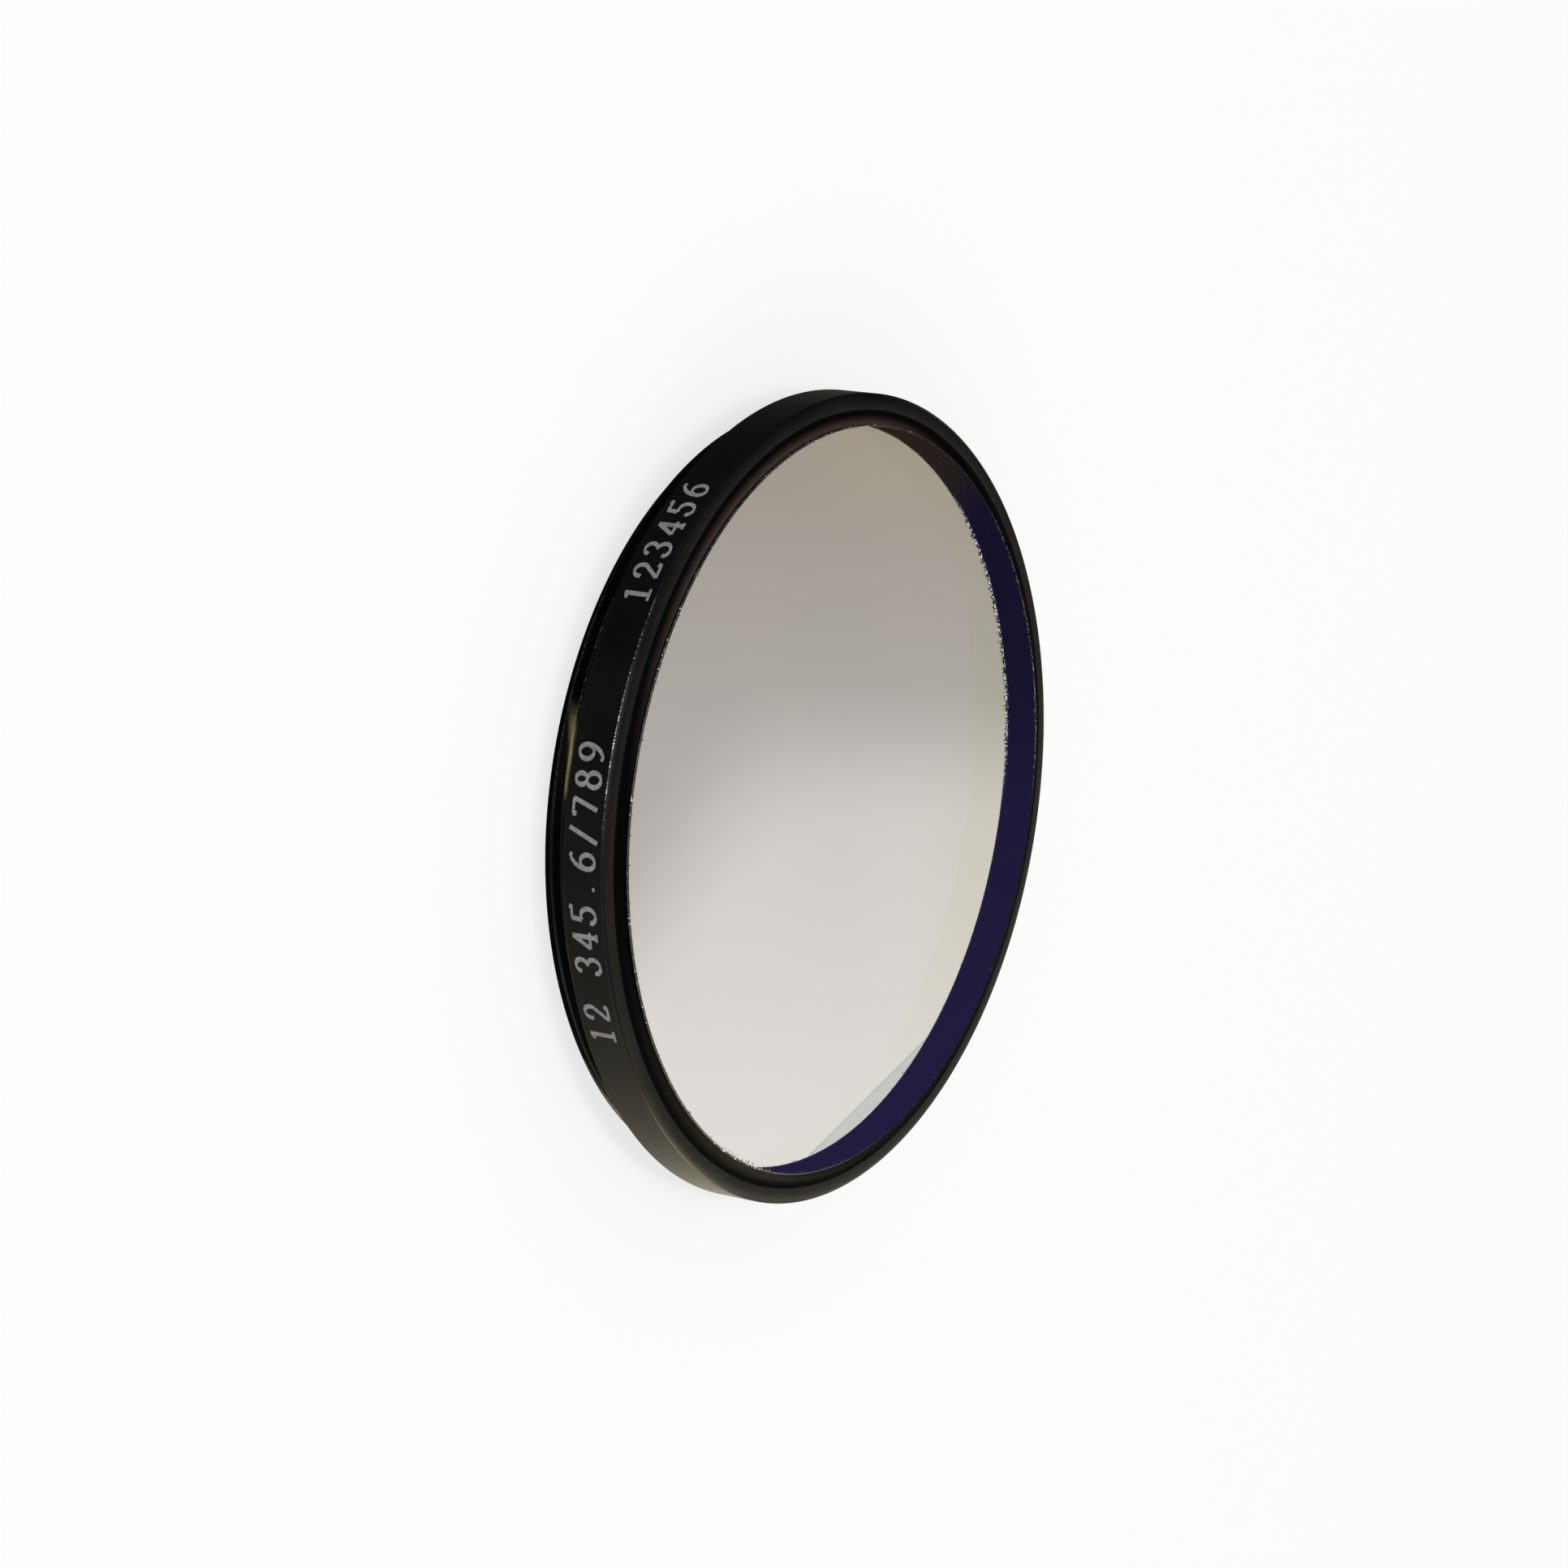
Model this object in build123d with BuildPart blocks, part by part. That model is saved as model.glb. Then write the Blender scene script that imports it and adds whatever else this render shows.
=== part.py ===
"""Mounted optical bandpass filter: a coated glass plate cemented into a threaded cell.

The cell is a thin turned ring. A plain grip flange carries the glass at its front, and a
male fine thread behind the flange screws the filter into an eyepiece barrel or a filter
wheel. The glass drops into a pocket from the front, lands on a seat, and is held by a
bead of black cement in a groove round its edge.

Frame: the origin is the centre of the thread's end face, +Z is the optical axis and
points out of the glass. All sizes are in millimetres.
"""

import os

from build123d import *

# Male thread, left plain at its crest diameter
thread_radius = 24.0
thread_length = 2.35
thread_pitch = 0.75
thread_lead_in = 0.2

# Walls, from the bore outwards
thread_wall = 1.5
seat_width = 1.1
rim_land = 1.0

# Glass plate, and the web of the flange that it stands on
glass_thickness = 2.4
glass_bevel = 0.2
glass_stand_out = 0.4
seat_web = 1.0

# Fit and cement
pocket_clearance = 0.1
corner_relief = 0.15
glue_groove = 0.8
meniscus_sag = 0.05

# Edges of the ring
flange_front_chamfer = 0.2
flange_rear_chamfer = 0.15
bore_chamfer = 0.2

# A 60 degree thread is 0.613 of its pitch deep, and the relief runs just below its root
thread_depth = 0.613 * thread_pitch
relief_clearance = 0.05
relief_radius = thread_radius - thread_depth - relief_clearance
relief_width = 0.7 * thread_pitch

# Radii
bore_radius = thread_radius - thread_wall
pocket_radius = bore_radius + seat_width
glass_radius = pocket_radius - pocket_clearance
groove_mouth_radius = pocket_radius + glue_groove
flange_radius = groove_mouth_radius + rim_land

# Levels along the axis
seat_z = thread_length + seat_web
glass_front_z = seat_z + glass_thickness
front_face_z = glass_front_z - glass_stand_out
flange_height = front_face_z - thread_length
seal_top_z = glass_front_z - glass_bevel
groove_foot_z = front_face_z - glue_groove

os.makedirs("parts", exist_ok=True)


def ring_edge(part, radius, z):
    """Return the part's round edge of this radius at this height."""
    level = part.edges().filter_by(GeomType.CIRCLE).filter_by_position(Axis.Z, z - 0.01, z + 0.01)
    return [edge for edge in level if abs(edge.radius - radius) < 0.01]


# Cell: the thread's boss and the flange, bored through and counterbored from the front
with BuildPart() as cell:
    with BuildSketch(Plane.XY):
        Circle(thread_radius)
    extrude(amount=thread_length)
    with BuildSketch(Plane.XY.offset(thread_length)):
        Circle(flange_radius)
    extrude(amount=flange_height)

    # Outer edges, while they are the only round edges of their size
    chamfer(ring_edge(cell, thread_radius, 0), thread_lead_in)
    chamfer(ring_edge(cell, flange_radius, thread_length), flange_rear_chamfer)
    chamfer(ring_edge(cell, flange_radius, front_face_z), flange_front_chamfer)

    # Thread relief, a groove that lets the thread run out against the flange
    with BuildSketch(Plane.XY.offset(thread_length - relief_width)):
        Circle(thread_radius)
        Circle(relief_radius, mode=Mode.SUBTRACT)
    extrude(amount=relief_width, mode=Mode.SUBTRACT)

    # Clear bore, then the pocket down to the seat
    with BuildSketch(Plane.XY):
        Circle(bore_radius)
    extrude(amount=front_face_z, mode=Mode.SUBTRACT)
    chamfer(ring_edge(cell, bore_radius, 0), bore_chamfer)
    with BuildSketch(Plane.XY.offset(seat_z)):
        Circle(pocket_radius)
    extrude(amount=front_face_z - seat_z, mode=Mode.SUBTRACT)

    # Glue groove, a wide bevel at the pocket's mouth
    chamfer(ring_edge(cell, pocket_radius, front_face_z), glue_groove)

    # Undercut round the pocket's corner, so that the glass lands on the seat and not on a radius
    with BuildSketch(Plane.XY.offset(seat_z)):
        Circle(pocket_radius + corner_relief)
        Circle(pocket_radius, mode=Mode.SUBTRACT)
    extrude(amount=2 * corner_relief, mode=Mode.SUBTRACT)

# Glass: a plate with both its edges bevelled
with BuildPart() as filter_glass:
    with BuildSketch(Plane.XY.offset(seat_z)):
        Circle(glass_radius)
    extrude(amount=glass_thickness)
    chamfer(filter_glass.edges().filter_by(GeomType.CIRCLE), glass_bevel)

# Cement bead: it fills the groove and climbs to the foot of the glass's bevel
with BuildPart() as edge_seal:
    with BuildSketch(Plane.XZ):
        with BuildLine():
            seal_foot = Line((glass_radius, groove_foot_z), (pocket_radius, groove_foot_z))
            groove_wall = Line(seal_foot @ 1, (groove_mouth_radius, front_face_z))
            meniscus = SagittaArc(groove_wall @ 1, (glass_radius, seal_top_z), -meniscus_sag)
            Line(meniscus @ 1, seal_foot @ 0)
        make_face()
    revolve(axis=Axis.Z)

cell.part.label = "cell"
filter_glass.part.label = "filter_glass"
edge_seal.part.label = "edge_seal"

for piece in (cell.part, filter_glass.part, edge_seal.part):
    export_step(piece, f"parts/{piece.label}.step")
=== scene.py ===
# %% [markdown]
# # A mounted optical bandpass filter
#
# A coated glass plate sits in a thin threaded ring, which astronomers screw into an eyepiece
# barrel or a filter wheel. The ring is turned from aluminium and anodised black. The glass drops
# in from the front and a bead of black cement holds it. This lesson starts from the packed
# engineering model, keeps every piece in its place, and gives each one the surface and the
# finish of the real thing.

import math

import bmesh
import bpy
import numpy as np
from mathutils import Matrix, Vector


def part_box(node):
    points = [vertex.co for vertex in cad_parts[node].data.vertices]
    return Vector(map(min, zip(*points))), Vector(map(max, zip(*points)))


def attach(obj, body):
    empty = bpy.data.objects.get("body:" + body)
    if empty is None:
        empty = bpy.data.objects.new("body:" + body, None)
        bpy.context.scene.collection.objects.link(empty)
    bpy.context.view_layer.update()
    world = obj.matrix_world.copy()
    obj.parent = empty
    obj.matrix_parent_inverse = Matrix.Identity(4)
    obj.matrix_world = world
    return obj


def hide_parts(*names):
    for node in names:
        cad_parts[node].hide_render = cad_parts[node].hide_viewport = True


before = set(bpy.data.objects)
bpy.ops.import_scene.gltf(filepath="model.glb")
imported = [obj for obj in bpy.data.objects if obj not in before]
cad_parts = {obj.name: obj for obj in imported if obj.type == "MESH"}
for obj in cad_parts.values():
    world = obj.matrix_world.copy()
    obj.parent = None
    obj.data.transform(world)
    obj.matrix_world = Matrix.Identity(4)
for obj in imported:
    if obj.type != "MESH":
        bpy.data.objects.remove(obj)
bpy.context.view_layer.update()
print("packed nodes:", sorted(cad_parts))

# %% [markdown]
# ## Sizes
#
# Blender works in metres and a filter is a thing of millimetres, so `mm` turns one into the
# other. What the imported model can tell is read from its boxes: the flange's radius, the height
# of the front face, the glass and the cement. The few sizes that a box can't tell, such as the
# thread's pitch, are written here once.

# %% Sizes read from the model, and the few that are written here
mm = 0.001
cell_low, cell_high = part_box("cell")
glass_low, glass_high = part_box("filter_glass")
seal_low, seal_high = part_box("edge_seal")

flange_radius = cell_high.x / mm
front_face_z = cell_high.z / mm
glass_radius = glass_high.x / mm
seat_z = glass_low.z / mm
glass_front_z = glass_high.z / mm
groove_mouth_radius = seal_high.x / mm
groove_foot_z = seal_low.z / mm
seal_top_z = seal_high.z / mm

pocket_clearance = 0.1
seat_width = 1.1
pocket_radius = glass_radius + pocket_clearance
bore_radius = pocket_radius - seat_width
thread_radius = 24.0
thread_pitch = 0.75
thread_end_z = 1.825
relief_radius = 23.49
flange_rear_z = 2.35
lead_in = 0.2
front_chamfer = 0.2
wall_top_z = front_face_z - front_chamfer
print("flange radius", round(flange_radius, 3), "mm, glass radius", round(glass_radius, 3), "mm")

# %% [markdown]
# ## The camera
#
# The photograph looks at the filter from well in front of its face and is turned nearly on its
# side, so that the optical axis points to the right. A long lens keeps the round rims close to
# true ellipses. The camera is set by what it aims at, how far off it stands, the two angles of
# its line of sight, and how far it is rolled about that line.

# %% Place the camera
sensor_width = 36.0
image_width = 1932
focal_pixels = 6000.0
aim_point = Vector((-0.511, -6.73, front_face_z)) * mm
aim_distance = 297.457 * mm
sight_azimuth = math.radians(-0.1165)
sight_fall = math.radians(32.333)
camera_roll = math.radians(-98.524)


def camera_axes():
    """Return the camera's right, down and forward axes. Forward comes from the two angles of
    the line of sight, and the other two are the level ones turned about it by the roll."""
    forward = Vector((
        math.sin(sight_azimuth) * math.cos(sight_fall),
        math.cos(sight_azimuth) * math.cos(sight_fall),
        -math.sin(sight_fall),
    ))
    level_right = forward.cross(Vector((0, 0, 1))).normalized()
    level_down = forward.cross(level_right)
    right = math.cos(camera_roll) * level_right + math.sin(camera_roll) * level_down
    down = forward.cross(right)
    return right, down, forward


right_axis, down_axis, forward_axis = camera_axes()
camera = bpy.data.objects.new("camera", bpy.data.cameras.new("camera"))
bpy.context.scene.collection.objects.link(camera)
camera.matrix_world = Matrix.Translation(aim_point - aim_distance * forward_axis) @ Matrix(
    (right_axis, -down_axis, -forward_axis)
).transposed().to_4x4()
camera.data.sensor_width = sensor_width
camera.data.lens = sensor_width * focal_pixels / image_width
camera.data.clip_start = 0.01
camera.data.clip_end = 20.0
bpy.context.scene.camera = camera
bpy.context.scene.view_settings.view_transform = "Standard"
print("camera at", [round(part / mm, 1) for part in camera.location], "mm")
print("lens", round(camera.data.lens, 1), "mm")

# %% [markdown]
# ## Shader maths in plain Python
#
# A finish is a formula: how dark, how rough, how scratched at this point. In Blender a formula is
# a web of Math nodes, which is slow to write and hard to read. The class below wraps a socket
# and gives it the usual operators, so that `1 - mask * 0.5` adds the three nodes by itself. Every
# other node comes from one method, which takes a node's type, its settings and its inputs.

# %% A socket with arithmetic, and a sheet of nodes
class Wire:
    """One value in a shader. Arithmetic on it adds Math nodes and returns the new value."""

    def __init__(self, sheet, socket):
        self.sheet = sheet
        self.socket = socket

    def maths(self, operation, *values):
        """Add a Math node. Its inputs are the values in order."""
        return self.sheet.node("ShaderNodeMath", {"operation": operation}, dict(enumerate(values)))

    def __add__(self, other):
        return self.maths("ADD", self, other)

    def __sub__(self, other):
        return self.maths("SUBTRACT", self, other)

    def __rsub__(self, other):
        return self.maths("SUBTRACT", other, self)

    def __mul__(self, other):
        return self.maths("MULTIPLY", self, other)

    def __truediv__(self, other):
        return self.maths("DIVIDE", self, other)

    def __pow__(self, other):
        return self.maths("POWER", self, other)

    __radd__ = __add__
    __rmul__ = __mul__

    def step(self, start, end):
        """Rise smoothly from 0 at start to 1 at end."""
        settings = {"interpolation_type": "SMOOTHSTEP"}
        ends = {"Value": self, "From Min": start, "From Max": end}
        return self.sheet.node("ShaderNodeMapRange", settings, ends)

    def band(self, middle, half_width, softness):
        """Be 1 within half_width of middle, and fall smoothly to 0 over softness."""
        distance = self.maths("ABSOLUTE", self - middle)
        return 1 - distance.step(half_width, half_width + softness)


class Sheet:
    """The nodes of one material or world."""

    def __init__(self, tree):
        self.tree = tree
        self.tree.nodes.clear()

    def node(self, kind, settings=None, inputs=None, output=0):
        """Add a node. Its settings come first, because they change which sockets it has. Then
        each socket gets its value or its link, and one of the node's outputs comes back."""
        made = self.tree.nodes.new(kind)
        for name, value in (settings or {}).items():
            setattr(made, name, value)
        for name, value in (inputs or {}).items():
            self.feed(made.inputs[name], value)
        return Wire(self, made.outputs[output]) if made.outputs else None

    def feed(self, socket, value):
        """Link a wire to a socket, or set the socket's own value."""
        if isinstance(value, Wire):
            self.tree.links.new(value.socket, socket)
        elif isinstance(value, tuple) and socket.type == "RGBA":
            socket.default_value = (*value, 1.0)
        else:
            socket.default_value = value

    def blend(self, factor, first, second):
        """Mix two colours: the first at factor 0, the second at 1."""
        colours = {0: factor, 6: first, 7: second}
        return self.node("ShaderNodeMix", {"data_type": "RGBA"}, colours, output=2)

    def dot(self, vector, direction):
        """Return how far a vector reaches along a fixed direction."""
        settings = {"operation": "DOT_PRODUCT"}
        inputs = {0: vector, 1: tuple(direction)}
        return self.node("ShaderNodeVectorMath", settings, inputs, output="Value")

    def noise(self, place, scale, detail=2.0, roughness=0.5):
        """Return smooth cloudy noise from 0 to 1."""
        inputs = {"Vector": place, "Scale": scale, "Detail": detail, "Roughness": roughness}
        return self.node("ShaderNodeTexNoise", {}, inputs)


def new_material(name):
    """Make a material with an empty sheet of nodes."""
    material = bpy.data.materials.new(name)
    material.use_nodes = True
    return material, Sheet(material.node_tree)


# %% [markdown]
# ## Where a point lies on a turned part
#
# Everything here was made on a lathe or ground round, so a finish is easiest to write in a lathe's
# own terms: how far from the axis, how high, and how far round. The three are worked out from
# Object coordinates, which are the model's own metres, because every piece sits at the
# origin. To run a pattern round the ring without a seam, it is read at a point of the circle and
# not at an angle.

# %% Lathe coordinates for the materials
def lathe_place(sheet):
    """Return the object position in millimetres, the radius from the axis, and the position's
    three parts by name."""
    metres = sheet.node("ShaderNodeTexCoord", output="Object")
    scale = {0: metres, "Scale": 1 / mm}
    position = sheet.node("ShaderNodeVectorMath", {"operation": "SCALE"}, scale)
    parts = {}
    for axis in "XYZ":
        parts[axis] = sheet.node("ShaderNodeSeparateXYZ", {}, {0: position}, output=axis)
    radius = (parts["X"] * parts["X"] + parts["Y"] * parts["Y"]) ** 0.5
    return position, radius, parts


def around(sheet, parts, radius, turns, spread):
    """Return a point for reading noise round the ring: the unit circle times turns, with the
    radius and height added up as a third coordinate and multiplied by spread."""
    section = (radius + parts["Z"] * 1.7) * spread
    values = {"X": parts["X"] / radius * turns, "Y": parts["Y"] / radius * turns, "Z": section}
    return sheet.node("ShaderNodeCombineXYZ", {}, values)


print("shader helpers ready")

# %% [markdown]
# ## Turning a profile
#
# A lathe part is a closed outline spun about the axis. Sharp corners never look real, because
# even a crisp machined edge is broken by a few hundredths of a millimetre and that is what
# catches the light, so each corner of the outline is first replaced by a small arc. The spun
# surface is then one numpy array of points, with a row for each point of the outline and a column
# for each step round the axis.

# %% Round an outline's corners, and spin it
columns = 720
turn = np.linspace(0.0, 2 * np.pi, columns + 1)
corner_points = 5
weld_distance = 0.0002 * mm
sharp_angle = math.radians(50)


def rounded(outline, radius):
    """Replace each corner of a closed outline by an arc of 3 points that touches both sides, with
    one more point just beyond each end of it, so that the flats are shaded evenly right up to
    the arc. The arc's ends lie the radius over the tangent of half the angle from the corner."""
    outline = np.array(outline, float)
    rounded_points = []
    for before, corner, after in zip(np.roll(outline, 1, 0), outline, np.roll(outline, -1, 0)):
        to_before = (before - corner) / np.linalg.norm(before - corner)
        to_after = (after - corner) / np.linalg.norm(after - corner)
        half_angle = math.acos(np.clip(to_before @ to_after, -1, 1)) / 2
        reach = radius / math.tan(half_angle)
        middle = (to_before + to_after) / np.linalg.norm(to_before + to_after)
        centre = corner + middle * radius / math.sin(half_angle)
        start = corner + to_before * reach - centre
        end = corner + to_after * reach - centre
        sweep = math.pi - 2 * half_angle
        share = np.array([[0.0], [0.5], [1.0]])
        arc = (np.sin((1 - share) * sweep) * start + np.sin(share * sweep) * end) / math.sin(sweep)
        guards = corner + 1.5 * reach * np.stack((to_before, to_after))
        rounded_points.append(np.concatenate((guards[:1], centre + arc, guards[1:])))
    return np.concatenate(rounded_points)


def spun(radii, heights):
    """Return points of rows by columns: (r cos t, r sin t, z), with t once round the axis. A
    radius or height may be one number for a row or differ along it."""
    radii, heights = np.broadcast_arrays(radii * np.ones_like(turn), heights * np.ones_like(turn))
    return np.stack((radii * np.cos(turn), radii * np.sin(turn), heights), axis=-1)


def grid_faces(rows, width, start=0):
    """Return the quads between neighbouring rows and columns of a grid of points."""
    index = start + np.arange(rows * width).reshape(rows, width)
    corners = (index[:-1, :-1], index[:-1, 1:], index[1:, 1:], index[1:, :-1])
    return np.stack([corner.ravel() for corner in corners], axis=-1)


def make_piece(name, points, faces, materials, face_materials=None):
    """Build a mesh object from points in millimetres. Doubled points at seams and poles are
    welded, and the faces are turned to point outwards."""
    mesh = bpy.data.meshes.new(name)
    mesh.from_pydata(np.reshape(points, (-1, 3)) * mm, [], faces.tolist())
    for material in materials:
        mesh.materials.append(material)
    if face_materials is not None:
        mesh.polygons.foreach_set("material_index", np.asarray(face_materials, np.int32))
    built = bmesh.new()
    built.from_mesh(mesh)
    bmesh.ops.remove_doubles(built, verts=built.verts, dist=weld_distance)
    bmesh.ops.dissolve_degenerate(built, edges=built.edges, dist=1e-8)
    bmesh.ops.recalc_face_normals(built, faces=built.faces)
    open_edges = sum(not edge.is_manifold for edge in built.edges)
    built.to_mesh(mesh)
    built.free()
    mesh.shade_smooth()
    mesh.set_sharp_from_angle(angle=sharp_angle)
    piece = bpy.data.objects.new(name, mesh)
    bpy.context.scene.collection.objects.link(piece)
    mesh.calc_loop_triangles()
    print(name, "has", len(mesh.loop_triangles), "triangles and", open_edges, "open edges")
    return piece


# %% [markdown]
# ## Black anodised aluminium
#
# Anodising leaves a thin clear oxide over the metal and dye fills its pores. The result is not
# paint: it is a very dark satin skin that still shows the fine rings left by the cutting tool. So
# the material is a near-black dielectric, its roughness varies a little round the ring, and a
# noise that is stretched round the axis bumps it with turning marks. Sharp crests wear first:
# there specks of bare metal show through, set on the near side only as painted glints.

# %% The finish of the cell
streak_height = 1.23


def anodised_finish():
    """Near-black satin with turning marks, and specks of bare metal on the front edge, set on the
    near side as painted glints. In one place on the thread an olive streak is a painted highlight."""
    material, sheet = new_material("black_anodised_aluminium")
    position, radius, parts = lathe_place(sheet)
    marks = sheet.noise(around(sheet, parts, radius, 2.0, 14.0), 1.6, 5.0, 0.62)
    clouds = sheet.noise(position, 0.16, 3.0, 0.6)
    grains = sheet.noise(position, 9.0, 2.0, 0.6)

    wall_top = parts["Z"].band(wall_top_z + 0.02, 0.03, 0.02)
    front_edge = radius.band(flange_radius - 0.03, 0.03, 0.02) * wall_top
    on_thread = 1 - parts["Z"].step(thread_end_z + 0.075, thread_end_z + 0.175)
    thread_crest = radius.band(thread_radius, 0.01, 0.02) * on_thread
    # The specks are bare metal, but this near-side window keeps them where they stand as painted
    # glints
    near_side = (0 - (parts["Y"] + parts["X"] * 0.14) / radius).step(0.955, 0.995)
    specks = sheet.noise(around(sheet, parts, radius, 380.0, 3.0), 1.0, 1.0, 0.5)
    bare = (front_edge + thread_crest * 0.3) * near_side * specks.step(0.50, 0.66) * 0.6

    # The painted highlight streak: a curve of height against place along the ring, faded out at
    # both ends
    along = 0 - parts["X"] / radius
    from_streak = parts["Z"] - streak_height + along * 1.2 + along * along * 10.0
    streak_end = along.step(-0.11, -0.04) * (1 - along.step(0.05, 0.16))
    front_half = 1 - parts["Y"].step(-5.0, 0.0)
    # Striations that break the painted highlight into thin lines
    highlight_striations = sheet.noise(around(sheet, parts, radius, 9.0, 34.0), 1.0, 3.0, 0.6)
    streak = from_streak.band(0.0, 0.16, 0.25) * streak_end * front_half
    painted_highlight = streak * highlight_striations.step(0.30, 0.60)

    dark = sheet.blend(clouds.step(0.3, 0.7), (0.0028, 0.0025, 0.0027), (0.0056, 0.0050, 0.0050))
    dusted = sheet.blend(grains.step(0.64, 0.8) * 0.3, dark, (0.024, 0.023, 0.022))
    # The olive mixed in here is the painted highlight streak
    marked_tone = sheet.blend(painted_highlight * 0.8, dusted, (0.62, 0.60, 0.30))
    colour = sheet.blend(bare, marked_tone, (0.50, 0.50, 0.48))
    roughness = 0.26 + marks * 0.10 + clouds * 0.06 - bare * 0.10
    outside = radius.step(relief_radius - 0.2, relief_radius - 0.1)
    polished = outside * (1 - parts["Z"].step(wall_top_z + 0.01, wall_top_z + 0.07))
    bump = sheet.node("ShaderNodeBump", {}, {
        "Strength": 0.35, "Distance": 0.004 * mm, "Height": marks + grains * 0.25,
    })
    skin = sheet.node("ShaderNodeBsdfPrincipled", {}, {
        "Base Color": colour, "Roughness": roughness, "Metallic": bare, "Specular IOR Level": 0.08,
        "Coat Weight": polished * 0.36, "Coat Roughness": 0.16, "Normal": bump,
    })
    sheet.node("ShaderNodeOutputMaterial", {}, {"Surface": skin})
    return material


anodised = anodised_finish()

# %% [markdown]
# ## The cell and its thread
#
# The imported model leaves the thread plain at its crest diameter, because a helix is costly to
# carry in an engineering file. Here it gets its real form: a single-start right-hand thread with
# 60 degree flanks. Its radius is a wave along the axis whose phase moves on by one pitch in each
# turn. The grid is sheared in the same way, so its rows run along the helix and the crests
# come out clean instead of as a row of steps.

# %% The thread's surface
crest_flat = 0.125
thread_depth = 0.613 * thread_pitch
flank_share = thread_depth * math.tan(math.radians(30)) / thread_pitch
thread_samples = np.array([0.0, 0.045, 0.075, 0.14, 0.21, 0.28, 0.35, 0.40, 0.43, 0.5])


def thread_height(z):
    """Return the thread's radius at each height and angle: the distance to the nearest crest,
    in pitches, is 0 on the crest and 0.5 in the root, and the flank is a straight line between
    the two flats. The lead-in chamfer at the free end cuts it at 45 degrees."""
    phase = z / thread_pitch - turn / (2 * np.pi)
    to_crest = np.abs((phase + 0.5) % 1.0 - 0.5)
    climb = np.clip((crest_flat / 2 + flank_share - to_crest) / flank_share, 0, 1)
    turned = thread_radius - thread_depth * (1 - climb)
    return np.minimum(turned, thread_radius - lead_in + z)


def thread_points():
    """Return the thread's grid. Its rows follow the helix and stop at both ends."""
    one_pitch = np.unique(np.concatenate((thread_samples, 1 - thread_samples)))[:-1]
    pitches = np.arange(-1, math.ceil(thread_end_z / thread_pitch) + 1)
    starts = (pitches[:, None] + one_pitch).ravel() * thread_pitch
    starts = starts[:np.searchsorted(starts, thread_end_z) + 1]
    climbing = starts[:, None] + thread_pitch * turn / (2 * np.pi)
    heights = np.clip(climbing, 0.0, thread_end_z)
    return spun(thread_height(heights), heights)


# %% [markdown]
# The rest of the cell is a plain outline, followed from the end of the thread: the relief groove
# where the thread runs out, the grip flange, the front face, the bevel that holds the cement,
# the pocket, the seat, and back down the bore. The wall is drawn a hair inside its true radius,
# so that the figures laid on it later stay inside the flange's size. The seat is a hair low too,
# because two surfaces in one plane would both claim the light. The front land isn't quite flat:
# polishing before the dye has crowned it, and it falls away with the square of the distance.

# %% The cell
edge_break = 0.025
wall_inset = 0.008
wall_radius = flange_radius - wall_inset
rear_chamfer = 0.15
corner_relief = 0.15
clear_of_glass = 0.01
crown = 0.17
crown_start = 24.6
land_radii = (25.19, 25.0, 24.8, crown_start)
crowned_land = [
    (radius, front_face_z - crown * (radius - crown_start) ** 2) for radius in land_radii
]
cell_outline = [
    (relief_radius, thread_end_z),
    (relief_radius, flange_rear_z),
    (wall_radius - rear_chamfer, flange_rear_z),
    (wall_radius, flange_rear_z + rear_chamfer),
    (wall_radius, wall_top_z),
    *crowned_land,
    (groove_mouth_radius, front_face_z),
    (pocket_radius, groove_foot_z),
    (pocket_radius, seat_z + 2 * corner_relief),
    (pocket_radius + corner_relief, seat_z + 2 * corner_relief),
    (pocket_radius + corner_relief, seat_z - clear_of_glass),
    (bore_radius, seat_z - clear_of_glass),
    (bore_radius, lead_in),
    (bore_radius + lead_in, 0.0),
]


def build_cell():
    """Spin the thread and the outline as one closed surface."""
    thread = thread_points()
    outline = np.concatenate((
        np.array(cell_outline[:1]),
        rounded(cell_outline, edge_break)[corner_points:-corner_points],
        np.array(cell_outline[-1:]),
    ))
    body = spun(outline[:, :1], outline[:, 1:])
    points = np.concatenate((thread, body, thread[:1]))
    faces = grid_faces(len(points), columns + 1)
    return make_piece("threaded_cell", points, faces, [anodised])


cell = build_cell()
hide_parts("cell")
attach(cell, "root")

# %% [markdown]
# ## The coated glass
#
# An interference filter is a glass plate with a stack of thin films. From the front most of the
# light is thrown back, so the plate looks like a mirror, and the thickness of the glass shows at
# the far side: there the eye looks down through the front face at the blackened edge, and sees
# only the faint violet left over by the antireflection film. That crescent isn't painted on. The
# front face bends the light, the back face is the mirror, and the wall between them is black. The
# front face's index is 1.34, a little under glass's own 1.52, because that puts the crescent's
# inner edge where the photograph has it. The bevels are ground, and black cement has wetted them.

# %% The glass's four finishes
front_index = 1.34
film_reflection = 0.065
ground_width = 0.10
hidden_width = 0.04
chip_line = glass_radius - ground_width
clip_mark_normal = (0.840, 0.543, 0.0)
clip_mark_distance = 20.98


def chip_and_glint_sides(parts, radius):
    """Return where the rim was knocked most, which also places the painted glints and glow: a long
    stretch on one side and a short one across.
    """
    long_side = parts["Y"] / radius * 0.84 - parts["X"] / radius * 0.54
    short_side = parts["X"] / radius * 0.97 - parts["Y"] / radius * 0.24
    return long_side.step(0.86, 0.97), short_side.step(0.985, 0.998)


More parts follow.
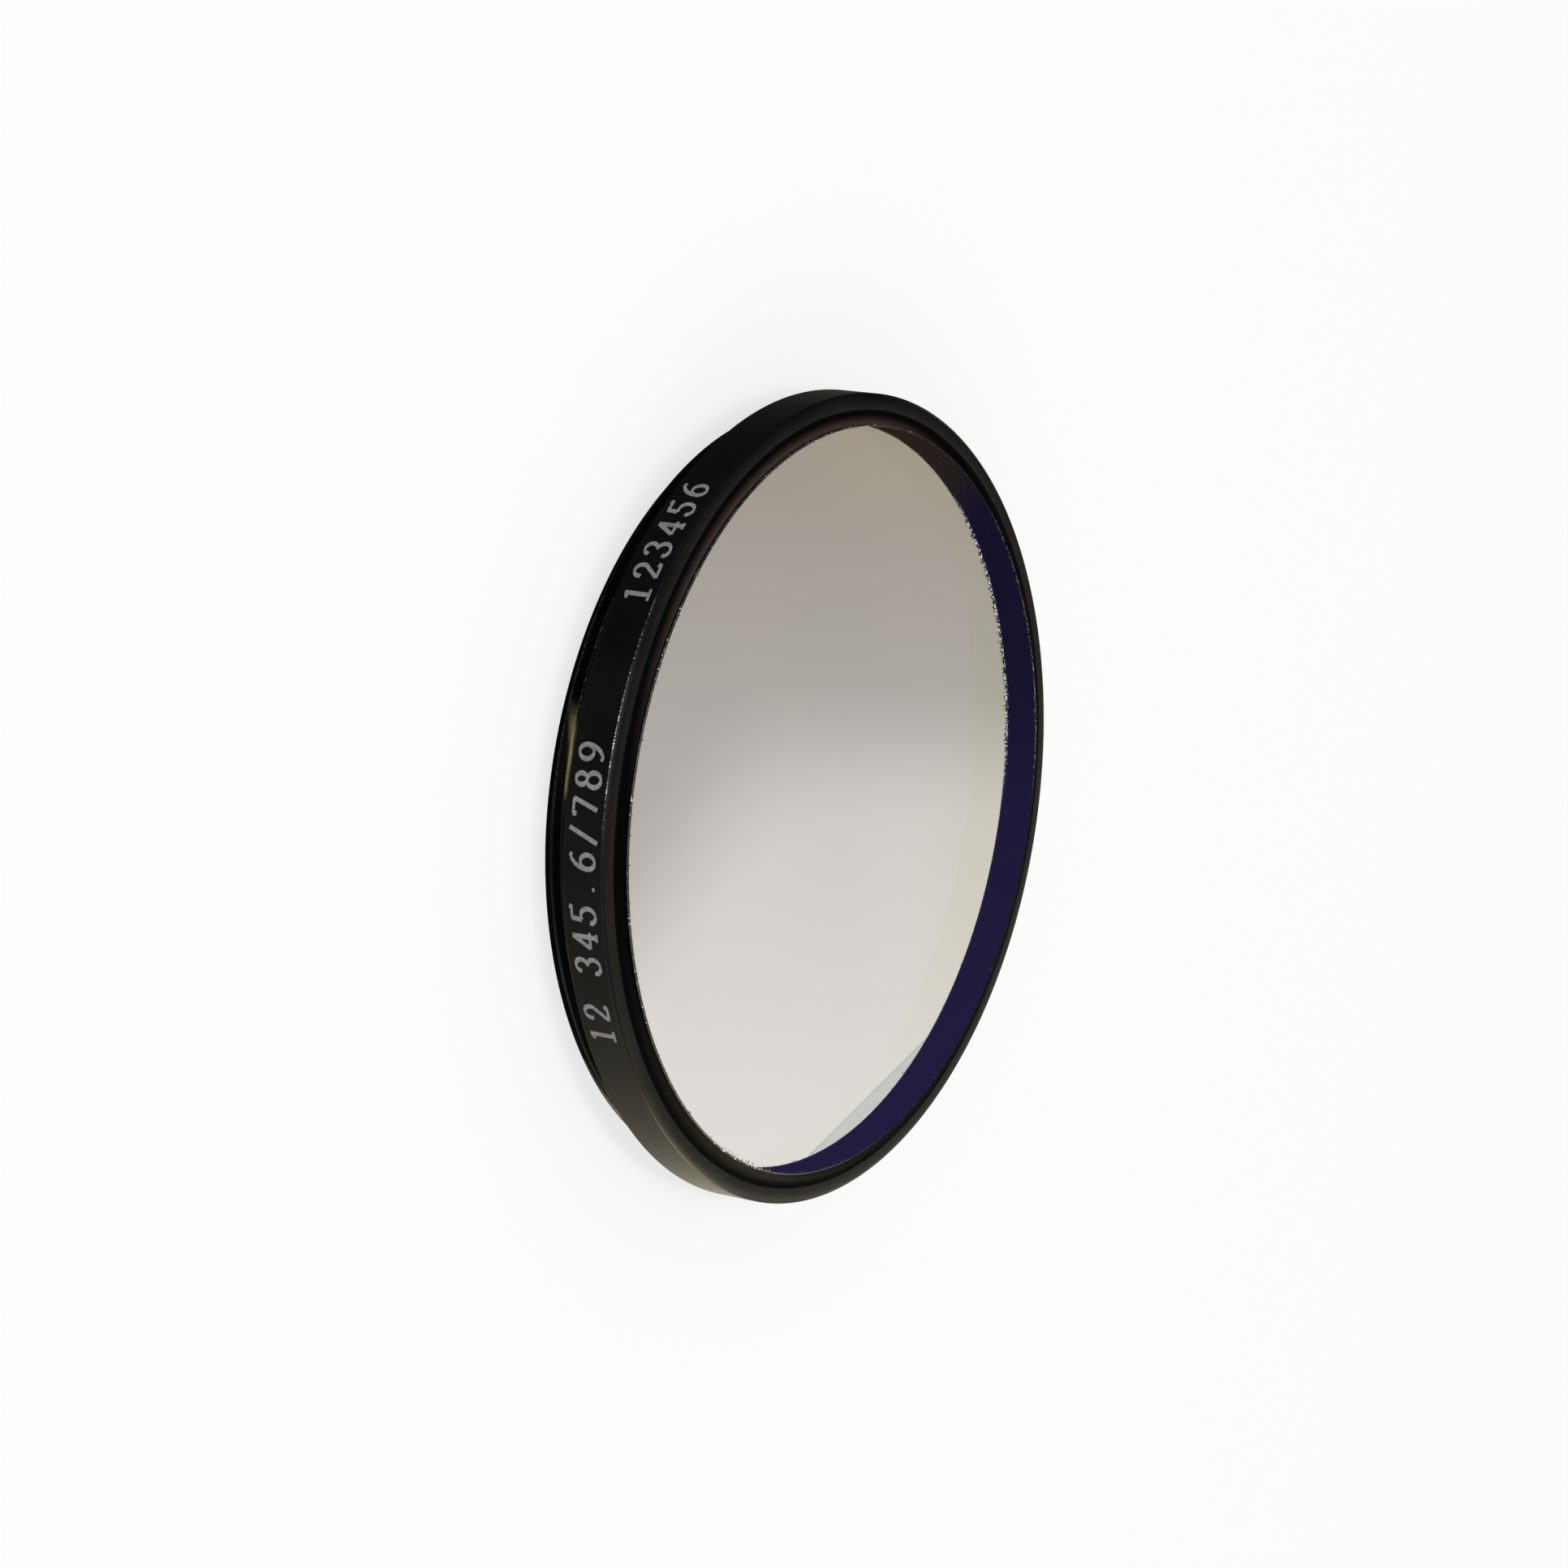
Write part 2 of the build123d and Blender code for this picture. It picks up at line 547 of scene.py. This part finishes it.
def front_film_finish():
    """Clear glass under an antireflection film: most light passes and bends, and a little comes
    back violet, and brown at one end of the plate as a painted sheen. Tiny chips along the rim are
    opaque, and on one short stretch they are light as painted glints."""
    material, sheet = new_material("antireflection_film")
    _, radius, parts = lathe_place(sheet)
    through = sheet.node("ShaderNodeBsdfRefraction", {}, {
        "Color": (0.985, 0.985, 0.97), "Roughness": 0.0, "IOR": front_index,
    })
    violet, brown = [
        sheet.node("ShaderNodeBsdfGlossy", {}, {"Color": colour, "Roughness": 0.0})
        for colour in ((0.27, 0.20, 0.90), (0.72, 0.54, 0.46))
    ]
    # Brown at the -X end of the plate: a painted sheen
    brown_sheen_end = (0 - parts["X"] / radius).step(0.86, 1.0) * radius.step(16.0, 23.0)
    residue = sheet.node("ShaderNodeMixShader", {}, {0: brown_sheen_end, 1: violet, 2: brown})
    film = sheet.node("ShaderNodeMixShader", {}, {0: film_reflection, 1: through, 2: residue})

    depth = radius.step(chip_line - 0.55, chip_line)
    chip = sheet.noise(around(sheet, parts, radius, 130.0, 4.0), 1.0, 3.0, 0.7)
    tone = sheet.noise(around(sheet, parts, radius, 160.0, 5.0), 1.0, 1.0, 0.5)
    long_side, short_side = chip_and_glint_sides(parts, radius)
    chipped = (chip + (long_side + short_side) * 0.10 + depth * 0.25).step(0.86, 0.88)
    # Chips on the short stretch are light as painted glints; elsewhere they stay dark
    lit = tone.step(0.50, 0.56) * short_side
    shade = sheet.blend(lit, (0.006, 0.006, 0.008), (0.60, 0.60, 0.58))
    fracture = sheet.node("ShaderNodeBsdfPrincipled", {}, {"Base Color": shade, "Roughness": 0.35})
    face = sheet.node("ShaderNodeMixShader", {}, {0: chipped, 1: film, 2: fracture})
    sheet.node("ShaderNodeOutputMaterial", {}, {"Surface": face})
    return material


def ground_bevel_finish():
    """Ground glass that black cement has wetted: dark grey, streaked and broken by chips. Light
    specks on the short stretch are painted glints, and chips on the long stretch carry a painted
    glow, an emission that shows when they are seen through the glass."""
    material, sheet = new_material("ground_bevel")
    _, radius, parts = lathe_place(sheet)
    streaks = sheet.noise(around(sheet, parts, radius, 150.0, 0.5), 1.0, 3.0, 0.7)
    chips = sheet.noise(around(sheet, parts, radius, 34.0, 2.0), 1.0, 4.0, 0.75)
    grey = sheet.blend(streaks.step(0.35, 0.75), (0.014, 0.013, 0.013), (0.070, 0.067, 0.065))
    marked_tone = sheet.blend(chips.step(0.55, 0.62), grey, (0.012, 0.011, 0.011))
    glints = sheet.noise(around(sheet, parts, radius, 150.0, 6.0), 1.0, 2.0, 0.6)
    long_side, short_side = chip_and_glint_sides(parts, radius)
    # Painted glints: light specks, most of them on the short stretch
    bright = (glints + short_side * 0.10).step(0.66, 0.70)
    colour = sheet.blend(bright, marked_tone, (0.80, 0.80, 0.78))
    # Painted glow: emission on chips of the long stretch
    glowing = long_side * glints.step(0.52, 0.55)
    painted_glow = sheet.blend(glowing, (0.0, 0.0, 0.0), (0.84, 0.82, 0.77))
    bump = sheet.node("ShaderNodeBump", {}, {
        "Strength": 0.6, "Distance": 0.01 * mm, "Height": streaks + chips,
    })
    skin = sheet.node("ShaderNodeBsdfPrincipled", {}, {
        "Base Color": colour, "Roughness": 0.42, "Specular IOR Level": 0.30, "Normal": bump,
        "Emission Color": painted_glow, "Emission Strength": 1.0,
    })
    sheet.node("ShaderNodeOutputMaterial", {}, {"Surface": skin})
    return material


def blackened_edge_finish():
    """The plate's wall, inked black so that no stray light crosses the glass. Along the top of the
    wall on the long stretch, chips carry a painted glow, an emission that shows through the glass."""
    material, sheet = new_material("blackened_glass_edge")
    _, radius, parts = lathe_place(sheet)
    brush = sheet.noise(around(sheet, parts, radius, 8.0, 3.0), 1.0, 3.0, 0.6)
    colour = sheet.blend(brush, (0.0004, 0.0004, 0.0006), (0.0016, 0.0015, 0.0022))
    flakes = sheet.noise(around(sheet, parts, radius, 110.0, 5.0), 1.0, 3.0, 0.7)
    long_side, short_side = chip_and_glint_sides(parts, radius)
    near_rim = parts["Z"].step(glass_front_z - 0.55, glass_front_z - 0.1)
    # Painted glow on chips near the rim of the long stretch
    painted_glow_flakes = (flakes + near_rim * 0.22).step(0.74, 0.78) * near_rim * long_side
    painted_glow = sheet.blend(painted_glow_flakes, (0.0, 0.0, 0.0), (0.62, 0.60, 0.56))
    skin = sheet.node("ShaderNodeBsdfPrincipled", {}, {
        "Base Color": colour, "Roughness": 0.7, "Specular IOR Level": 0.0,
        "Emission Color": painted_glow, "Emission Strength": 1.0,
    })
    sheet.node("ShaderNodeOutputMaterial", {}, {"Surface": skin})
    return material


def mirror_film_finish():
    """The film stack: a mirror that is faintly warm and a little uneven. A straight mark near the
    rim is where a clip held the plate in the coating chamber, and its film is thinner."""
    material, sheet = new_material("mirror_film")
    position, _, parts = lathe_place(sheet)
    clouds = sheet.noise(position, 0.07, 3.0, 0.55)
    even = sheet.blend(clouds.step(0.3, 0.7), (0.90, 0.885, 0.875), (0.925, 0.905, 0.885))
    far_rim = parts["Y"].step(11.0, 21.0)
    warm = sheet.blend(far_rim * 0.7, even, (0.86, 0.86, 0.76))
    past_clip = sheet.dot(position, clip_mark_normal)
    thinner = past_clip.step(clip_mark_distance - 0.02, clip_mark_distance + 0.05)
    marked_tone = sheet.blend(thinner * 0.75, warm, (0.66, 0.66, 0.68))
    line = past_clip.band(clip_mark_distance, 0.03, 0.05)
    colour = sheet.blend(line * 0.4, marked_tone, (0.36, 0.33, 0.36))
    skin = sheet.node("ShaderNodeBsdfPrincipled", {}, {
        "Base Color": colour, "Roughness": 0.0, "Metallic": 1.0,
    })
    sheet.node("ShaderNodeOutputMaterial", {}, {"Surface": skin})
    return material


glass_finishes = [
    front_film_finish(), ground_bevel_finish(), blackened_edge_finish(), mirror_film_finish(),
]
print("glass finishes:", [material.name for material in glass_finishes])

# %% [markdown]
# The plate is one closed surface. Its outline runs from the middle of the front face out to the
# bevel, down the wall, over the second bevel and back to the middle of the rear face. Each part
# of the outline names its finish, and a face takes the finish of the row that it starts from. The
# middle of each flat face has a few rings of its own, so that no face there is a long thin sliver.

# %% The glass plate
FRONT, BEVEL, WALL, REAR = range(4)
glass_edge_break = 0.012
ring_radii = (0.0, 5.0, 10.0, 15.0, 20.0, 22.5)


def build_glass():
    """Spin the plate's outline, row by row, with the finish of each row's faces."""
    rows = [(radius, glass_front_z, FRONT) for radius in ring_radii]
    outline = [
        (0.0, glass_front_z),
        (chip_line, glass_front_z),
        (glass_radius, glass_front_z - ground_width),
        (glass_radius, seat_z + hidden_width),
        (glass_radius - hidden_width, seat_z),
        (0.0, seat_z),
    ]
    soft = rounded(outline, glass_edge_break)[corner_points:-corner_points]
    finishes = [FRONT] * 2 + [BEVEL] * 5 + [WALL] * 11 + [REAR] * 2
    rows += [(radius, height, finish) for (radius, height), finish in zip(soft, finishes)]
    rows += [(radius, seat_z, REAR) for radius in reversed(ring_radii)]
    table = np.array(rows)
    points = spun(table[:, :1], table[:, 1:2])
    faces = grid_faces(len(points), columns + 1)
    face_rows = np.repeat(table[:-1, 2].astype(int), columns)
    return make_piece("coated_glass", points, faces, glass_finishes, face_rows)


glass = build_glass()
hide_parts("filter_glass")
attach(glass, "root")

# %% [markdown]
# ## The cement bead
#
# Black cement fills the groove round the glass and climbs its edge, as any liquid does before it
# sets. It is glossy, and because a hand laid it, its level rises and falls a little round the
# ring. A few sine waves of whole numbers of turns give that wander without a seam.

# %% The cement's finish and shape
def cement_finish():
    """Set black cement: deep black, glossy, with soft ripples and a few specks of dust. Next to the
    glass on one side it is painted a little brown, as a painted sheen."""
    material, sheet = new_material("black_cement")
    position, radius, parts = lathe_place(sheet)
    ripples = sheet.noise(around(sheet, parts, radius, 6.0, 1.5), 1.0, 3.0, 0.55)
    dust = sheet.noise(position, 3.4, 4.0, 0.7)
    near_glass = (1 - radius.step(glass_radius - 0.1, glass_radius + 0.75)) ** 1.5
    near_left = (0 - parts["X"] / radius).step(-0.1, 0.7) * (1 - parts["Y"].step(-4.0, 8.0))
    # Brown next to the glass on the -X side: a painted sheen
    painted_sheen = near_glass * near_left
    black = sheet.blend(dust.step(0.68, 0.74), (0.0016, 0.0014, 0.0016), (0.012, 0.012, 0.011))
    colour = sheet.blend(painted_sheen, black, (0.052, 0.035, 0.030))
    bump = sheet.node("ShaderNodeBump", {}, {
        "Strength": 0.5, "Distance": 0.03 * mm, "Height": ripples,
    })
    skin = sheet.node("ShaderNodeBsdfPrincipled", {}, {
        "Base Color": colour, "Roughness": 0.14 + dust * 0.12, "Specular IOR Level": 0.008,
        "Normal": bump,
    })
    sheet.node("ShaderNodeOutputMaterial", {}, {"Surface": skin})
    return material


bead_clearance = 0.004
glass_gap = 0.002
meniscus_sag = 0.05
bead_wander = 0.022
bead_waves = ((3, 0.4, 0.5), (7, 2.1, 0.3), (16, 1.0, 0.2))


def build_bead():
    """Spin the bead. Its top is a shallow arc that sags below the straight line from the groove's
    lip to the glass, and the sag deepens with the sum of a few sines of the angle."""
    share = np.linspace(0, 1, 13)[:, None]
    lip = np.array((groove_mouth_radius, front_face_z)) - bead_clearance
    crest = np.array((glass_radius + glass_gap, seal_top_z))
    wander = sum(size * (1 + np.sin(count * turn + start)) / 2 for count, start, size in bead_waves)
    sag = (meniscus_sag + bead_wander * wander) * 4 * share * (1 - share)
    top = spun(lip[0] + (crest[0] - lip[0]) * share, lip[1] + (crest[1] - lip[1]) * share - sag)
    foot_radii = np.array([[crest[0]], [pocket_radius - bead_clearance]])
    foot = spun(foot_radii, np.full((2, 1), groove_foot_z))
    points = np.concatenate((top, foot, top[:1]))
    faces = grid_faces(len(points), columns + 1)
    return make_piece("cement_bead", points, faces, [cement_finish()])


bead = build_bead()
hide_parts("edge_seal")
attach(bead, "root")

# %% [markdown]
# ## Figures on the wall
#
# Such a filter carries a line of laser-engraved figures round its grip. The figures here are plain
# digits in counting order, drawn with strokes of our own. Each stroke is a line or a piece of
# an ellipse, and its width follows a broad pen held at a fixed angle, thick when the pen moves
# across its nib and thin along it. That one rule gives all the digits the same handsome contrast.
# The strokes are wrapped onto the wall as very thin domed strips.

# %% The strokes of each digit
def line(x0, y0, x1, y1):
    """A straight stroke, in parts of the digit's height."""
    share = np.linspace(0, 1, 7)
    return np.stack((x0 + (x1 - x0) * share, y0 + (y1 - y0) * share), axis=-1)


def arc(x, y, across, up, start, end):
    """Part of an ellipse round (x, y), from one angle to another in degrees."""
    angle = np.radians(np.linspace(start, end, 25))
    return np.stack((x + across * np.cos(angle), y + up * np.sin(angle)), axis=-1)


strokes = {
    "0": [arc(0.30, 0.50, 0.23, 0.46, 90, 450)],
    "1": [line(0.31, 0.96, 0.31, 0.03), line(0.12, 0.83, 0.31, 0.93), line(0.10, 0.04, 0.52, 0.04)],
    "2": [arc(0.29, 0.71, 0.22, 0.25, 165, -35), line(0.47, 0.57, 0.09, 0.07),
          line(0.06, 0.06, 0.55, 0.06), line(0.07, 0.66, 0.10, 0.78), line(0.54, 0.04, 0.56, 0.18)],
    "3": [arc(0.27, 0.74, 0.21, 0.22, 150, -90), arc(0.27, 0.27, 0.25, 0.25, 90, -150),
          line(0.06, 0.76, 0.10, 0.88), line(0.03, 0.12, 0.07, 0.24)],
    "4": [line(0.42, 0.95, 0.05, 0.31), line(0.03, 0.30, 0.58, 0.30), line(0.42, 0.96, 0.42, 0.03),
          line(0.29, 0.04, 0.55, 0.04)],
    "5": [line(0.50, 0.93, 0.15, 0.93), line(0.15, 0.94, 0.12, 0.56),
          arc(0.26, 0.30, 0.25, 0.28, 122, -150), line(0.50, 0.90, 0.53, 1.02),
          line(0.03, 0.12, 0.06, 0.24)],
    "6": [arc(0.30, 0.29, 0.23, 0.27, 90, 450), arc(0.55, 0.29, 0.48, 0.66, 180, 98),
          line(0.46, 0.88, 0.50, 0.98)],
    "7": [line(0.06, 0.93, 0.55, 0.93), line(0.54, 0.93, 0.24, 0.02), line(0.05, 0.80, 0.06, 0.95)],
    "8": [arc(0.30, 0.74, 0.18, 0.21, 90, 450), arc(0.30, 0.27, 0.23, 0.26, 90, 450)],
    "9": [arc(0.30, 0.69, 0.23, 0.27, 90, 450), arc(0.05, 0.69, 0.48, 0.66, 0, -82),
          line(0.10, 0.02, 0.14, 0.12)],
    ".": [line(0.24, 0.04, 0.36, 0.07)],
    "/": [line(0.06, -0.06, 0.48, 1.02)],
}
print("digits drawn:", "".join(strokes))

# %% [markdown]
# A digit's height runs down towards the thread, as on the real part, because the filter is read
# with its face towards the reader's lap. On the wall, a step to the right becomes an angle and
# a step up becomes a lower z.

# %% Wrap the figures onto the wall
figure_height = 1.85
figure_base_z = 4.72
figure_pitch = math.radians(3.62)
pen_thick = 0.185
pen_thin = 0.095
pen_angle = math.radians(12)
figure_top = 0.0004
stroke_drop = 0.0004

# Each line's figures, and the angle in degrees at which they start
figure_lines = (("12 345.6/789", -39.6), ("123456", 22.4))


def strip_of(path, drop):
    """Return a domed strip along a path, 5 points across, and its level. The width is that of a
    broad nib: thin, plus a share of the rest by the sine of the angle between stroke and nib."""
    along = np.gradient(path, axis=0)
    if np.allclose(path[0], path[-1]):
        along[0] = along[-1] = path[1] - path[-2]
    along /= np.linalg.norm(along, axis=1)[:, None]
    heading = np.arctan2(along[:, 1], along[:, 0])
    half = (pen_thin + (pen_thick - pen_thin) * np.abs(np.sin(heading - pen_angle))) / 2
    side = np.stack((-along[:, 1], along[:, 0]), axis=-1)
    across = np.array([-1.0, -0.86, 0.0, 0.86, 1.0])
    level = np.array([-0.03, -0.0012, 0.0, -0.0012, -0.03])
    flat = path[:, None, :] + side[:, None, :] * (across * half[:, None])[..., None]
    return flat, np.broadcast_to(level - drop, flat.shape[:2])


def wrap(flat, level, start_angle):
    """Lay a drawing on the wall. The angle is the start plus the step right over the radius,
    measured from the near side at -Y towards -X, and the height falls by the step up."""
    angle = start_angle + flat[..., 0] * figure_height / flange_radius
    radius = flange_radius - figure_top + level
    height = figure_base_z - flat[..., 1] * figure_height
    return np.stack((-radius * np.sin(angle), -radius * np.cos(angle), height), axis=-1)


def build_figures():
    """Lay every stroke of both lines of figures, and join them as one mesh. Where two strokes
    of a digit cross, each is a hair lower than the one before. Each strip is closed by its first
    edge repeated underneath, and by a middle point at each end if it has ends."""
    grids, faces, count = [], [], 0
    for text, start in figure_lines:
        for place, character in enumerate(text):
            for order, path in enumerate(strokes.get(character, [])):
                flat, level = strip_of(path, order * stroke_drop)
                points = wrap(flat, level, math.radians(start) + place * figure_pitch)
                middles = points.mean(axis=1, keepdims=True).repeat(6, axis=1)
                points = np.concatenate((points, points[:, :1]), axis=1)
                if not np.allclose(points[0], points[-1], atol=1e-4):
                    points = np.concatenate((middles[:1], points, middles[-1:]))
                grids.append(points.reshape(-1, 3))
                faces.append(grid_faces(*points.shape[:2], start=count))
                count += points.shape[0] * points.shape[1]
    points, faces = np.concatenate(grids), np.concatenate(faces)
    return make_piece("engraved_figures", points, faces, [figure_finish()])


def figure_finish():
    """Laser-bleached oxide: a dull light grey, mottled by the beam's fine raster."""
    material, sheet = new_material("engraved_grey")
    position, *_ = lathe_place(sheet)
    raster = sheet.noise(position, 5.5, 3.0, 0.7)
    colour = sheet.blend(raster.step(0.3, 0.7), (0.16, 0.15, 0.155), (0.30, 0.285, 0.29))
    skin = sheet.node("ShaderNodeBsdfPrincipled", {}, {
        "Base Color": colour, "Roughness": 0.6, "Specular IOR Level": 0.3,
    })
    sheet.node("ShaderNodeOutputMaterial", {}, {"Surface": skin})
    return material


figures = build_figures()
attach(figures, "root")

# %% [markdown]
# ## The floor
#
# The floor is a pale disc that the thread's end stands on. Seen straight from the camera it has
# to be white, so its material adds a little light of its own, for the camera only, on top of the
# light that falls on it. The object's shadow still shows.

# %% The floor
def floor_finish():
    """Pale matt paint, lifted to white where the camera looks at it. The satin black ring would
    mirror so much white, so glossy rays see it darker on the near side, as if a black card lay
    there just out of the picture."""
    material, sheet = new_material("pale_floor")
    position, *_ = lathe_place(sheet)
    camera_ray = sheet.node("ShaderNodeLightPath", output="Is Camera Ray")
    glossy_ray = sheet.node("ShaderNodeLightPath", output="Is Glossy Ray")
    far_side = sheet.dot(position, (0.80, 0.60, 0.0)).step(-32.0, 42.0)
    paint = sheet.node("ShaderNodeBsdfDiffuse", {}, {"Color": (0.86, 0.86, 0.85)})
    white, dark, warm = [
        sheet.node("ShaderNodeEmission", {}, {"Color": colour, "Strength": 1.0})
        for colour in ((1.0, 1.0, 1.0), (0.03, 0.03, 0.03), (1.0, 0.93, 0.70))
    ]
    mirrored_floor = sheet.node("ShaderNodeMixShader", {}, {0: far_side, 1: dark, 2: warm})
    glow = sheet.node("ShaderNodeMixShader", {}, {0: glossy_ray, 1: white, 2: mirrored_floor})
    lifted = camera_ray * 0.72 + glossy_ray
    look = sheet.node("ShaderNodeMixShader", {}, {0: lifted, 1: paint, 2: glow})
    sheet.node("ShaderNodeOutputMaterial", {}, {"Surface": look})
    return material


floor_radii = np.array([[0.0], [60.0], [3000.0]])
floor_z = -0.002
floor_points = spun(floor_radii, np.full((3, 1), floor_z))
floor = make_piece("floor", floor_points, grid_faces(3, columns + 1)[:, ::-1], [floor_finish()])

# %% [markdown]
# ## Light
#
# A mirror shows its surroundings, so the room matters as much as the lamps. The room here is a
# plain grey one with a pale wall, and the soft line where the two meet crosses the glass. It is
# written in the world's shader as a function of direction alone: a direction is on the pale side
# when it lies on the right side of two planes through the object, whose meeting is rounded off.
# Both sides grow slowly lighter in one direction. The -X side of the room is unlit, which keeps
# the upper wall of the ring near black, and a warm window on the +X side lights its lower end.
# Diffuse light comes from an even pale sky, so that colours keep their own values.

# %% The room
def mirrored(axis):
    """Return a direction as the level glass reflects it."""
    return Vector((axis.x, axis.y, -axis.z))


seen_down = mirrored(down_axis)
seen_right = mirrored(right_axis)
edge_slant = math.radians(54.6)
slanted_edge = math.cos(edge_slant) * seen_down + math.sin(edge_slant) * seen_right


def light_the_room():
    """Build the world: white to the camera, even to matt surfaces, and to shiny ones a room with
    a pale wall, an unlit side and a window."""
    world = bpy.data.worlds.new("studio_room")
    bpy.context.scene.world = world
    world.use_nodes = True
    sheet = Sheet(world.node_tree)
    direction = sheet.node("ShaderNodeTexCoord", output="Generated")
    slope = sheet.dot(direction, seen_down)
    slanted = sheet.dot(direction, slanted_edge) + 0.009
    side = slanted.maths("SMOOTH_MIN", slanted, slope + 0.006, 0.025)
    pale = side.step(-0.0157, 0.0157)
    grey_wall = sheet.blend(slope.step(-0.085, 0.0), (0.419, 0.385, 0.308), (0.543, 0.522, 0.469))
    pale_wall = sheet.blend(slope.step(-0.01, 0.085), (0.771, 0.767, 0.693), (0.916, 0.919, 0.844))
    walls = sheet.blend(pale, grey_wall, pale_wall)
    height = sheet.dot(direction, (0.0, 0.0, 1.0))
    across = sheet.dot(direction, (1.0, 0.0, 0.0))
    dim = across.step(-0.22, -0.10) * height.step(0.10, 0.24)
    shaded = sheet.blend(dim, (0.03, 0.03, 0.03), walls)
    ahead = sheet.dot(direction, (0.0, 1.0, 0.0))
    window = across.step(0.16, 0.50) * height.step(0.25, 0.41) * ahead.step(0.22, 0.45)
    room = sheet.blend(window, shaded, (8.6, 7.7, 5.0))
    glossy = sheet.node("ShaderNodeLightPath", output="Is Glossy Ray")
    through = sheet.node("ShaderNodeLightPath", output="Is Transmission Ray")
    camera_ray = sheet.node("ShaderNodeLightPath", output="Is Camera Ray")
    shiny = glossy.maths("MAXIMUM", glossy, through)
    even = sheet.blend(camera_ray, (0.60, 0.60, 0.60), (1.0, 1.0, 1.0))
    colour = sheet.blend(shiny, even, room)
    light = sheet.node("ShaderNodeBackground", {}, {"Color": colour, "Strength": 1.0})
    sheet.node("ShaderNodeOutputWorld", {}, {"Surface": light})


light_the_room()


def soft_lamp(name, place, width, length, power):
    """Hang an area lamp at a place in metres, aimed at the filter, with its length along Y."""
    data = bpy.data.lights.new(name, "AREA")
    data.shape = "RECTANGLE"
    data.size = width
    data.size_y = length
    data.energy = power
    lamp = bpy.data.objects.new(name, data)
    lamp.location = place
    lamp.rotation_mode = "QUATERNION"
    lamp.rotation_quaternion = Vector(place).to_track_quat("Z", "Y")
    bpy.context.scene.collection.objects.link(lamp)


soft_lamp("overhead_strip", (-0.14, -0.42, 1.35), 0.40, 1.15, 9.0)
soft_lamp("side_lamp", (1.3, -0.5, 0.9), 0.8, 0.8, 5.0)
print("lamps:", [lamp.name for lamp in bpy.data.lights])
